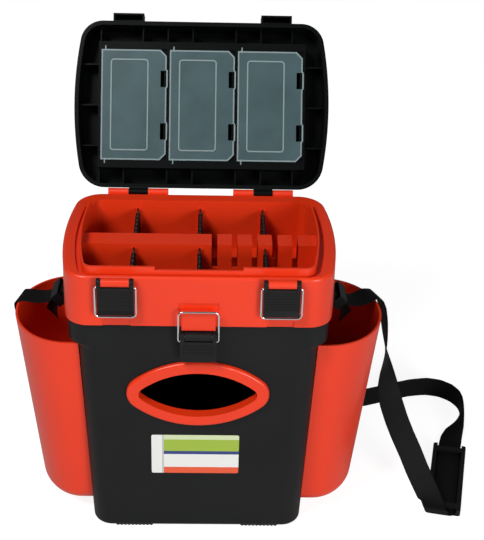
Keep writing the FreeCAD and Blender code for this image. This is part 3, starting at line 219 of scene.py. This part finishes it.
world = bpy.data.worlds.new("studio")
scene.world = world
world.use_nodes = True
world.node_tree.nodes.clear()
split_rays(world.node_tree,
           shader_node(world.node_tree, "Background", color=SKY_COLOUR, strength=SKY_STRENGTH),
           shader_node(world.node_tree, "Background", color=grey(1), strength=1.0),
           "OutputWorld")

softbox("front_lamp", (1.3, -2.15, 0.75), size=0.9, watts=36)
softbox("high_lamp", (-1.0, -1.1, 2.1), size=0.7, watts=38)


# Black mouldings. The lower box, the lid and its welded frame are black polypropylene.
# The box has a fine spark-eroded grain. The lid is smoother, with soft reflections, and its
# black is darker than the box's as painted shade of its unlit inside.

BOX_BLACK = (0.0066, 0.0071, 0.0077)
# Darker black of the lid and its frame: painted shade of the lid's unlit inside, on the same
# plastic as the box.
LID_BLACK_PAINTED_SHADE = (0.0020, 0.0026, 0.0027)
FOOT_BLACK = (0.010, 0.010, 0.010)
CLOUD_SCALE = 14.0


def moulded(name, colour, roughness, grain_size, grain_depth, mottle=0.12, flow=0.15, shine=0.3):
    """Injection-moulded plastic: surface grain, faint mottling and uneven gloss."""
    material, tree, shader = principled(name)
    place = shader_node(tree, "TexCoord")
    grain = shader_node(tree, "TexNoise", scale=1.0 / grain_size, detail=3.0, roughness=0.6)
    relief = shader_node(tree, "Bump", strength=0.5, distance=grain_depth)
    cloud = shader_node(tree, "TexNoise", scale=CLOUD_SCALE, detail=2.0)
    tint = colour_ramp(tree, shade(colour, 1 - mottle), shade(colour, 1 + mottle),
                       NOISE_LOW, NOISE_HIGH)
    gloss = shader_node(tree, "MapRange", to_min=roughness * (1 - flow),
                        to_max=roughness * (1 + flow))
    link(tree,
         (place, "Object", grain, "Vector"), (grain, "Fac", relief, "Height"),
         (relief, "Normal", shader, "Normal"), (place, "Object", cloud, "Vector"),
         (cloud, "Fac", tint, "Fac"), (cloud, "Fac", gloss, "Value"),
         (tint, "Color", shader, "Base Color"), (gloss, "Result", shader, "Roughness"))
    shader.inputs["IOR"].default_value = PLASTIC_IOR
    shader.inputs["Specular IOR Level"].default_value = shine
    return material


wear(moulded("grained_black", BOX_BLACK, 0.5, 0.0007, 0.00006, shine=0.22), "lower_box")
wear(moulded("smooth_black_painted_shade", LID_BLACK_PAINTED_SHADE, 0.3, 0.0022, 0.00002, shine=0.14), "lid", "lid_frame")
wear(moulded("foot_rubber", FOOT_BLACK, 0.7, 0.0012, 0.00005), "feet")


# Orange-red mouldings. The tray, both pockets and the window ring are moulded in one
# orange-red plastic with a satin skin and faint flow marks.

ORANGE_RED = (0.79, 0.037, 0.0055)

wear(moulded("orange_plastic", ORANGE_RED, 0.36, 0.0035, 0.00002, mottle=0.03, flow=0.12,
             shine=0.5),
     "tray", "pocket_left", "pocket_right")
wear(moulded("orange_ring_plastic", ORANGE_RED, 0.32, 0.003, 0.00001, mottle=0.03, shine=0.5),
     "window_ring")


# Dividers. Six loose plates of dark brown plastic stand between guide ribs in the tray.

DIVIDER_BROWN = (0.022, 0.010, 0.009)

wear(moulded("divider_plastic", DIVIDER_BROWN, 0.38, 0.0016, 0.00003),
     "divider_front_1", "divider_front_2", "divider_front_3",
     "divider_rear_1", "divider_rear_2", "divider_rear_3")


# Well covers. Three frosted clear plates close the wells of the lid. Their raised border
# and bead, and the steep faces at their edges, are painted paler than the plate between them as
# a painted highlight.

COVER_FILM = (0.055, 0.098, 0.108)
# Paler colour for the covers' raised border, bead and edges: a painted highlight.
COVER_EDGE_HIGHLIGHT = (0.24, 0.31, 0.32)
COVER_RAISE = 0.0002
COVER_ALPHA = 0.9
OPEN_ANGLE = math.radians(120)

lid_hinge = next(joint for joint in frame["joints"] if joint["name"] == "lid_hinge")
lid_axis = Vector(lid_hinge["pos_m"])
inner_side = Matrix.Rotation(-OPEN_ANGLE, 3, "X") @ Vector((0, 0, -1))


def plate_height(name):
    """Distance of a cover's plate from the origin, along the way that the lid's inside faces."""
    levels = {}
    for face in nodes[name].data.polygons:
        if face.normal.dot(inner_side) > 0.999:
            key = round(face.center.dot(inner_side), 5)
            levels[key] = levels.get(key, 0) + face.area
    return max(levels, key=levels.get)


def frosted(name, height):
    """Frosted clear plastic, with a painted highlight where it stands above the plate and on its
    edges.
    """
    material, tree, shader = principled(name)
    place = shader_node(tree, "TexCoord")
    along = maths(tree, "VectorMath", "DOT_PRODUCT")
    facing = maths(tree, "VectorMath", "DOT_PRODUCT")
    for item in (along, facing):
        item.inputs[1].default_value = inner_side
    # Mask of the painted highlight: raised border and bead, and faces steep to the plate.
    raised = shader_node(tree, "MapRange", from_min=height + COVER_RAISE * 0.5,
                         from_max=height + COVER_RAISE * 1.5)
    steep = maths(tree, "Math", "ABSOLUTE")
    edge = shader_node(tree, "MapRange", from_min=0.9, from_max=0.5)
    highlight_share = maths(tree, "Math", "MAXIMUM")
    haze = shader_node(tree, "TexNoise", scale=30.0, detail=4.0)
    film = colour_ramp(tree, shade(COVER_FILM, 0.86), shade(COVER_FILM, 1.16), NOISE_LOW, 0.75)
    colour = shader_node(tree, "Mix")
    colour.data_type = "RGBA"
    colour.inputs["B"].default_value = shade(COVER_EDGE_HIGHLIGHT)
    link(tree,
         (place, "Object", along, 0), (along, "Value", raised, "Value"),
         (place, "Normal", facing, 0), (facing, "Value", steep, 0),
         (steep, 0, edge, "Value"), (raised, "Result", highlight_share, 0), (edge, "Result", highlight_share, 1),
         (place, "Object", haze, "Vector"), (haze, "Fac", film, "Fac"),
         (highlight_share, 0, colour, "Factor"), (film, "Color", colour, "A"),
         (colour, "Result", shader, "Base Color"))
    shader.inputs["Roughness"].default_value = 0.32
    shader.inputs["IOR"].default_value = PLASTIC_IOR
    shader.inputs["Alpha"].default_value = COVER_ALPHA
    return material


for name in ("cover_left", "cover_middle", "cover_right"):
    wear(frosted(name + "_film", plate_height(name)), name)


# Latches. Each is a ribbed black lever on a steel pin, with a bail bent from bright
# chromed spring wire whose ends sit in the lever's cheeks.

LEVER_BLACK = (0.0072, 0.0072, 0.0075)
CHROME = (0.80, 0.80, 0.81)
STEEL = (0.50, 0.50, 0.51)
RIVET_GREY = (0.02, 0.02, 0.021)


def metal(name, colour, roughness, streak):
    """Bare or plated metal with drawing marks."""
    material, tree, shader = principled(name)
    place = shader_node(tree, "TexCoord")
    marks = shader_node(tree, "TexNoise", scale=streak, detail=4.0)
    gloss = shader_node(tree, "MapRange", to_min=roughness * 0.7, to_max=roughness * 1.4)
    tone = colour_ramp(tree, shade(colour, 0.85), shade(colour))
    link(tree,
         (place, "Object", marks, "Vector"), (marks, "Fac", gloss, "Value"),
         (marks, "Fac", tone, "Fac"), (gloss, "Result", shader, "Roughness"),
         (tone, "Color", shader, "Base Color"))
    shader.inputs["Metallic"].default_value = 1.0
    return material


wear(moulded("lever_plastic", LEVER_BLACK, 0.36, 0.0015, 0.00002, shine=0.25),
     "lever_left", "lever_right", "lever_centre")
wear(metal("chromed_wire", CHROME, 0.16, 400.0), "bail_left", "bail_right", "bail_centre")
wear(metal("pin_steel", STEEL, 0.34, 900.0),
     "lid_latch_pins", "centre_latch_pin", "lid_hinge_rods", "tray_hinge_rods")
wear(moulded("rivet_paint", RIVET_GREY, 0.42, 0.0012, 0.00001), "pocket_rivets", "anchor_rivets")


# Strap fittings. Brackets, sliders and the slide-on shoulder pad are black nylon, a
# little greyer and rougher than the lid.

FITTING_BLACK = (0.0045, 0.0048, 0.005)

wear(moulded("fitting_nylon", FITTING_BLACK, 0.42, 0.0009, 0.00004, shine=0.25),
     "strap_anchor_left", "strap_anchor_right", "strap_slider_left", "strap_slider_right",
     "strap_pad")


# Shoulder strap. One length of black 28 mm polypropylene webbing loops round a bar inside
# each pocket's mouth, hangs over the pockets' rims and lies on the floor with a twist.
# Its way is given as stations: a point on its middle line, and the direction across it.

STRAP_WIDTH = 0.028
STRAP_THICK = 0.0014
STRAP_SQUARES_ACROSS = 6
STRAP_SMOOTHING = 2
PAD_CENTRE = Vector((0.3005, 0.0025, 0.0))
PAD_TURN = math.radians(-12.5)
PAD_HALF_LENGTH = 0.063
UNDER_PAD = 0.0031
OVER_PAD = 0.0096
BAR = Vector((0.146, 0.008, 0.264))
BAR_TURN = 0.0031
ON_EDGE_Z = 0.0143
WEBBING_BLACK = (0.0036, 0.0037, 0.0037)
WEAVE_RIBS = 14
WAVE_SCALE = 0.314

TAIL = ((0.0175, -0.036, 0.8), (0.016, -0.025, 0.35), (0.0096, -0.0144, 0), (0.003, -0.0075, 0))
TAIL_TURNS = (225, 190, 155, 120, 85, 45)
TAIL_OUT = ((0.0094, 0, -0.0052), (0.0166, 0.001, -0.012))

RIM_RIGHT, RIM_LEFT, FACING = (-0.40, 0.92, 0), (0.29, 0.957, 0), (0.9, 0.19, 0.38)
HANGING_RIGHT = (
    ((0.174, 0.014, 0.2462), RIM_RIGHT), ((0.184, 0.022, 0.2456), RIM_RIGHT),
    ((0.192, 0.0295, 0.246), RIM_RIGHT), ((0.1995, 0.033, 0.244), RIM_RIGHT),
    ((0.205, 0.033, 0.238), (-0.34, 0.94, 0)), ((0.2085, 0.030, 0.2285), (-0.28, 0.96, 0)),
    ((0.211, 0.024, 0.214), (-0.2, 0.98, 0)), ((0.2126, 0.0175, 0.197), (-0.1, 0.99, 0)),
    ((0.214, 0.0125, 0.180), (0.1, 0.99, 0)), ((0.2154, 0.0075, 0.160), (0.55, 0.8, 0.1)),
    ((0.218, 0.0045, 0.139), (0.85, 0.45, 0.25)), ((0.224, 0.002, 0.116), FACING),
    ((0.232, 0.0, 0.093), FACING), ((0.241, -0.004, 0.072), FACING),
    ((0.2505, -0.010, 0.053), FACING), ((0.259, -0.019, 0.0345), FACING),
    ((0.2665, -0.030, 0.022), (0.93, 0.02, 0.2)), ((0.2715, -0.041, 0.015), (0.96, -0.15, 0.08)))
OFF_PAD = (
    ((0.3195, 0.084, 0.0052), (0.95, -0.2, 0.25)), ((0.3255, 0.097, 0.0096), (0.8, -0.25, 0.55)),
    ((0.332, 0.110, 0.0136), (0.45, -0.2, 0.87)), ((0.3375, 0.123, 0.0144), (0.15, 0, 0.99)))
ON_FLOOR = ((0.3405, 0.138), (0.339, 0.152), (0.3315, 0.166), (0.318, 0.1765), (0.300, 0.181),
            (0.277, 0.177), (0.250, 0.167), (0.219, 0.1545), (0.180, 0.146), (0.130, 0.139),
            (0.070, 0.133), (0.010, 0.130), (-0.050, 0.128), (-0.092, 0.126), (-0.106, 0.1253))
RISING_LEFT = (
    ((-0.120, 0.121, 0.018), (0.25, 0.1, 0.95)), ((-0.134, 0.116, 0.028), (0.5, 0.2, 0.84)),
    ((-0.148, 0.109, 0.046), (0.6, 0.35, 0.7)), ((-0.162, 0.099, 0.074), (0.65, 0.45, 0.55)),
    ((-0.174, 0.087, 0.106), (0.6, 0.6, 0.4)), ((-0.183, 0.072, 0.140), (0.55, 0.72, 0.3)),
    ((-0.189, 0.056, 0.172), (0.5, 0.8, 0.1)), ((-0.1955, 0.038, 0.202), (0.42, 0.9, 0.02)),
    ((-0.200, 0.029, 0.222), (0.36, 0.93, 0)), ((-0.202, 0.0245, 0.236), RIM_LEFT),
    ((-0.2013, 0.023, 0.2416), RIM_LEFT), ((-0.198, 0.022, 0.2438), RIM_LEFT),
    ((-0.192, 0.0205, 0.2446), RIM_LEFT), ((-0.184, 0.018, 0.245), RIM_LEFT),
    ((-0.174, 0.014, 0.2462), RIM_LEFT))


def on_pad(x, y, z):
    """Point given from the middle of the shoulder pad, along its width and length."""
    return PAD_CENTRE + Matrix.Rotation(PAD_TURN, 3, "Z") @ Vector((x, y, z))


def round_bar(side):
    """Stations from the webbing's tail, round the bracket's bar and out through the slider."""
    steps = [(BAR + Vector((x, 0, z)), side * twist) for x, z, twist in TAIL]
    for degrees in TAIL_TURNS:
        turn = math.radians(degrees)
        steps.append((BAR + Vector((math.cos(turn), 0, math.sin(turn))) * BAR_TURN, 0))
    steps += [(BAR + Vector(offset), 0) for offset in TAIL_OUT]
    return [(Vector((side * point.x, point.y, point.z)), Vector((twist, 1, 0)), False)
            for point, twist in steps]


def through_pad():
    """Stations over the pad's end, back through its slot and along under its top."""
    across = on_pad(1, 0, 0) - PAD_CENTRE
    end = PAD_HALF_LENGTH
    middle = (OVER_PAD + UNDER_PAD) / 2
    points = ((-0.013, 0.006 - end, OVER_PAD + 0.0016), (-0.0105, -end - 0.001, OVER_PAD),
              (-0.0085, -end - 0.005, OVER_PAD - 0.0008), (-0.007, -end - 0.0073, middle),
              (-0.005, -end - 0.0063, UNDER_PAD + 0.0012),
              (-0.002, -end - 0.0034, UNDER_PAD + 0.0001), (0, -end - 0.0005, UNDER_PAD),
              (0, 0.006 - end, UNDER_PAD), (0, 0, UNDER_PAD), (0, end - 0.006, UNDER_PAD),
              (0, end + 0.003, UNDER_PAD))
    return [(on_pad(*point), across, True) for point in points]


def stations(table):
    """Stations of a free stretch."""
    return [(Vector(point), Vector(across), False) for point, across in table]


def webbing_band(route):
    """Edit mesh of the flat band through its stations, with a layer that follows the weave.

    Where a station keeps its direction across, the band's way is turned square to it.
    """
    band = bmesh.new()
    bmesh.ops.create_grid(band, x_segments=STRAP_SQUARES_ACROSS, y_segments=1, size=0.5)
    bmesh.ops.delete(band, geom=[vert for vert in band.verts if vert.co.y > 0], context="VERTS")
    weave = band.loops.layers.uv.new("weave")
    line = sorted(band.verts, key=lambda vert: vert.co.x)
    shares = [vert.co.x for vert in line]
    run = 0.0
    last_centre, last_wide = None, None
    place_of = {}
    for i, (centre, across, kept) in enumerate(route):
        along = route[min(i + 1, len(route) - 1)][0] - route[max(i - 1, 0)][0]
        if kept:
            along -= across * across.dot(along)
        along.normalize()
        wide = (across - along * across.dot(along)).normalized() * STRAP_WIDTH
        if i:
            edges = [edge for edge in band.edges if all(vert in line for vert in edge.verts)]
            step = bmesh.ops.extrude_edge_only(band, edges=edges)
            line = [item for item in step["geom"] if isinstance(item, bmesh.types.BMVert)]
            line.sort(key=lambda vert: (vert.co - last_centre).dot(last_wide))
            run += (centre - last_centre).length
        for vert, share in zip(line, shares):
            vert.co = centre + wide * share
            place_of[vert] = (share + 0.5, run / STRAP_WIDTH)
        last_centre, last_wide = centre, wide
    for face in band.faces:
        for loop in face.loops:
            loop[weave].uv = place_of[loop.vert]
    return band


def bands(tree, direction):
    """Even waves across a texture."""
    wave = shader_node(tree, "TexWave", scale=WAVE_SCALE)
    wave.wave_type = "BANDS"
    wave.bands_direction = direction
    return wave


def woven_with_painted_shade(name, colour):
    """Polypropylene webbing: lengthwise ribs crossed by the weft, darker in the hollows as
    painted shade and paler on the crowns as painted highlight.
    """
    material, tree, shader = principled(name)
    place = shader_node(tree, "UVMap")
    place.uv_map = "weave"
    size = shader_node(tree, "Mapping", scale=(WEAVE_RIBS, WEAVE_RIBS, 1))
    ribs, weft = bands(tree, "X"), bands(tree, "DIAGONAL")
    cross = maths(tree, "Math", "MULTIPLY")
    relief = shader_node(tree, "Bump", strength=0.7, distance=0.0003)
    # Colour follows the weave's height: painted shade in its hollows, painted highlight on its
    # crowns.
    tone = colour_ramp(tree, shade(colour, 0.45), shade(colour, 1.5))
    link(tree,
         (place, "UV", size, "Vector"), (size, "Vector", ribs, "Vector"),
         (size, "Vector", weft, "Vector"), (ribs, "Fac", cross, 0), (weft, "Fac", cross, 1),
         (cross, 0, relief, "Height"), (cross, 0, tone, "Fac"),
         (tone, "Color", shader, "Base Color"), (relief, "Normal", shader, "Normal"))
    shader.inputs["Roughness"].default_value = 0.62
    shader.inputs["Specular IOR Level"].default_value = 0.16
    return material


floor_run = [((x, y, ON_EDGE_Z), (0, 0, 1)) for x, y in ON_FLOOR]
route = (round_bar(1) + stations(HANGING_RIGHT) + through_pad() + stations(OFF_PAD)
         + stations(floor_run) + stations(RISING_LEFT) + round_bar(-1)[::-1])
webbing = new_object("strap_webbing", webbing_band(route))
for face in webbing.data.polygons:
    face.use_smooth = True
thicken = webbing.modifiers.new("thickness", "SOLIDIFY")
thicken.thickness = STRAP_THICK
thicken.offset = 0.0
thicken.edge_crease_rim = 0.9
smooth = webbing.modifiers.new("smooth", "SUBSURF")
smooth.levels = STRAP_SMOOTHING
smooth.render_levels = STRAP_SMOOTHING
webbing.data.materials.append(woven_with_painted_shade("black_webbing", WEBBING_BLACK))
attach(webbing, "box")
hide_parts("strap_right", "strap_rear", "strap_left")


# Seat pad. A mat of closed-cell foam lies in a shallow recess on the lid's outside, which
# is the seat when the lid is closed. Two pressed channels run across it. It is made as it
# lies on the closed lid, and then turned open with it.

SEAT_WIDTH = 0.238
SEAT_DEPTH = 0.142
SEAT_THICK = 0.007
SEAT_CORNER = 0.024
SEAT_CORNER_STEPS = 10
SEAT_EDGE = 0.0024
SEAT_EDGE_STEPS = 3
SEAT_BASE_Z = 0.37085
SEAT_ROWS = (-0.05, 0.0, 0.05)
CHANNELS = (-0.04, 0.04)
CHANNEL_HALF = 0.0035
CHANNEL_DEPTH = 0.0012
# Darker foam colour, put in the pits of the cells: painted shade.
FOAM_PIT_SHADE = (0.032, 0.033, 0.036)
FOAM_LIGHT = (0.060, 0.061, 0.065)
FOAM_CELLS = 900.0


def cut_across(mesh, axis, distance):
    """Cuts all faces of an edit mesh by a plane square to an axis."""
    bmesh.ops.bisect_plane(mesh, geom=mesh.verts[:] + mesh.edges[:] + mesh.faces[:],
                           plane_co=axis * distance, plane_no=axis)


def foam_mat():
    """Edit mesh of the mat in its open place."""
    mat, raised = rounded_plate(SEAT_WIDTH, SEAT_DEPTH, SEAT_CORNER, SEAT_CORNER_STEPS,
                                SEAT_THICK)
    rim = [edge for edge in mat.edges if all(vert in raised for vert in edge.verts)]
    bmesh.ops.bevel(mat, geom=rim, offset=SEAT_EDGE, segments=SEAT_EDGE_STEPS, profile=0.5,
                    affect="EDGES", material=-1)
    for middle in CHANNELS:
        for cut in (middle - CHANNEL_HALF, middle, middle + CHANNEL_HALF):
            cut_across(mat, Vector((1, 0, 0)), cut)
    for row in SEAT_ROWS:
        cut_across(mat, Vector((0, 1, 0)), row)
    for vert in mat.verts:
        off_channel = min(abs(vert.co.x - middle) for middle in CHANNELS)
        if vert.co.z > SEAT_THICK - 0.0001 and off_channel < 0.0005:
            vert.co.z -= CHANNEL_DEPTH
    bmesh.ops.recalc_face_normals(mat, faces=mat.faces)
    lid_turn = (Matrix.Translation(lid_axis) @ Matrix.Rotation(-OPEN_ANGLE, 4, "X")
                @ Matrix.Translation(-lid_axis))
    bmesh.ops.transform(mat, matrix=lid_turn @ Matrix.Translation((0, 0, SEAT_BASE_Z)),
                        verts=mat.verts)
    return mat


def cellular_with_painted_shade(name):
    """Matt foam with small cells, darker in their pits as painted shade."""
    material, tree, shader = principled(name)
    place = shader_node(tree, "TexCoord")
    cells = shader_node(tree, "TexVoronoi", scale=FOAM_CELLS)
    relief = shader_node(tree, "Bump", strength=0.6, distance=0.0002)
    # Colour follows the cells' depth: painted shade in their pits.
    tone = colour_ramp(tree, shade(FOAM_PIT_SHADE), shade(FOAM_LIGHT))
    link(tree,
         (place, "Object", cells, "Vector"), (cells, "Distance", relief, "Height"),
         (cells, "Distance", tone, "Fac"), (tone, "Color", shader, "Base Color"),
         (relief, "Normal", shader, "Normal"))
    shader.inputs["Roughness"].default_value = 0.85
    return material


foam = new_object("foam_mat", foam_mat())
foam.data.materials.append(cellular_with_painted_shade("closed_cell_foam"))
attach(foam, "lid")
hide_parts("seat_pad")


# Front sticker. A thin printed film on the box's front, low and left of the middle. It
# carries plain fields of colour only.

STICKER_X = (-0.0505, 0.0455)
STICKER_Z = (0.080, 0.133)
STICKER_PROUD = 0.00015
STICKER_SUNK = 0.00002
STICKER_CORNER = 0.002
STICKER_CORNER_STEPS = 4
BOX_BASE_HALF_DEPTH = 0.0845
BOX_TOP_HALF_DEPTH = 0.090
BOX_HEIGHT = 0.275
FOOT_HEIGHT = 0.002
COLUMN_SHARE = 0.12
COLUMN_EDGE = 0.14
WARM, WHITE, NAVY = (0.78, 0.10, 0.035), (0.80, 0.80, 0.78), (0.03, 0.05, 0.20)
GREEN, PALE, RULE_GREY = (0.33, 0.47, 0.05), (0.62, 0.70, 0.42), (0.5, 0.5, 0.5)
FIELDS = ((0.0, WARM), (0.16, WHITE), (0.50, NAVY), (0.58, GREEN), (0.88, PALE))


def sticker_film():
    """Edit mesh of the film, leaning with the box's front."""
    lean = math.atan2(BOX_TOP_HALF_DEPTH - BOX_BASE_HALF_DEPTH, BOX_HEIGHT)
    middle_x = sum(STICKER_X) / 2
    middle_z = sum(STICKER_Z) / 2
    wall_y = -(BOX_BASE_HALF_DEPTH + (middle_z - FOOT_HEIGHT) * math.tan(lean))
    film, _ = rounded_plate(STICKER_X[1] - STICKER_X[0], STICKER_Z[1] - STICKER_Z[0],
                            STICKER_CORNER, STICKER_CORNER_STEPS, STICKER_PROUD)
    bmesh.ops.recalc_face_normals(film, faces=film.faces)
    stand = (Matrix.Translation((middle_x, wall_y - STICKER_SUNK, middle_z))
             @ Matrix.Rotation(math.pi / 2 + lean, 4, "X"))
    bmesh.ops.transform(film, matrix=stand, verts=film.verts)
    return film


def fields(tree, parts, axis, reach, stops):
    """Fields of flat colour between two coordinates, each starting at a share of the way."""
    span = shader_node(tree, "MapRange", from_min=reach[0], from_max=reach[1])
    steps = shader_node(tree, "ValToRGB")
    steps.color_ramp.interpolation = "CONSTANT"
    marks = steps.color_ramp.elements
    for i, (position, colour) in enumerate(stops):
        mark = marks[i] if i < 2 else marks.new(position)
        mark.position = position
        mark.color = shade(colour)
    link(tree, (parts, axis, span, "Value"), (span, "Result", steps, "Fac"))
    return steps


def printed(name):
    """Printed film: a narrow column at the left, and rows of colour beside it."""
    material, tree, shader = principled(name)
    place = shader_node(tree, "TexCoord")
    parts = shader_node(tree, "SeparateXYZ")
    rows = fields(tree, parts, "Z", STICKER_Z, FIELDS)
    column = fields(tree, parts, "X", STICKER_X, ((0.0, WHITE), (COLUMN_SHARE, RULE_GREY)))
    choose = fields(tree, parts, "X", STICKER_X, ((0.0, (1, 1, 1)), (COLUMN_EDGE, (0, 0, 0))))
    mixed = shader_node(tree, "Mix")
    mixed.data_type = "RGBA"
    link(tree,
         (place, "Object", parts, "Vector"), (choose, "Color", mixed, "Factor"),
         (rows, "Color", mixed, "A"), (column, "Color", mixed, "B"),
         (mixed, "Result", shader, "Base Color"))
    shader.inputs["Roughness"].default_value = 0.3
    return material


sticker = new_object("front_sticker", sticker_film())
sticker.data.materials.append(printed("printed_film"))
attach(sticker, "box")
